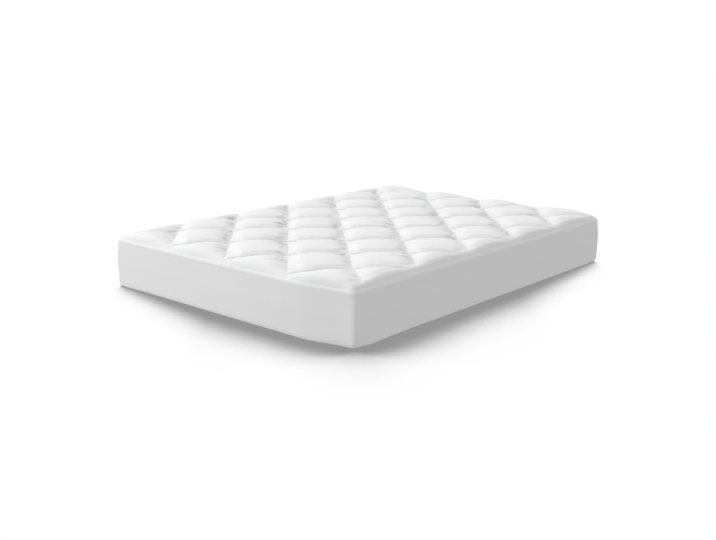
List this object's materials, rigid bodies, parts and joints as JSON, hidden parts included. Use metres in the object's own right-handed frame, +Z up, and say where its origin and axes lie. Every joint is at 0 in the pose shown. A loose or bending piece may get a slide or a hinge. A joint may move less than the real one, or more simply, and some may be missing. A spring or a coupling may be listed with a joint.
{
  "type": "mattress topper on a mattress",
  "caption": "Mattress topper with a puffy, diamond-quilted top panel and a smooth knit skirt, fitted over a plain mattress and tucked under its edges.",
  "frame": {"origin": "on the floor, under the middle of the mattress", "axes": "+X across the bed, +Y along the bed, +Z up"},
  "size_m": [1.5302, 2.0382, 0.2825],
  "materials": {
    "quilted_microfibre": "brushed microfibre, quilted in large puffed diamonds",
    "knit_skirt": "smooth stretch knit, matt",
    "mattress_ticking": "plain pale ticking"
  },
  "bodies": {
    "root": {"quilted_top": "quilted_microfibre", "skirt": "knit_skirt", "mattress": "mattress_ticking"}
  },
  "joints": []
}
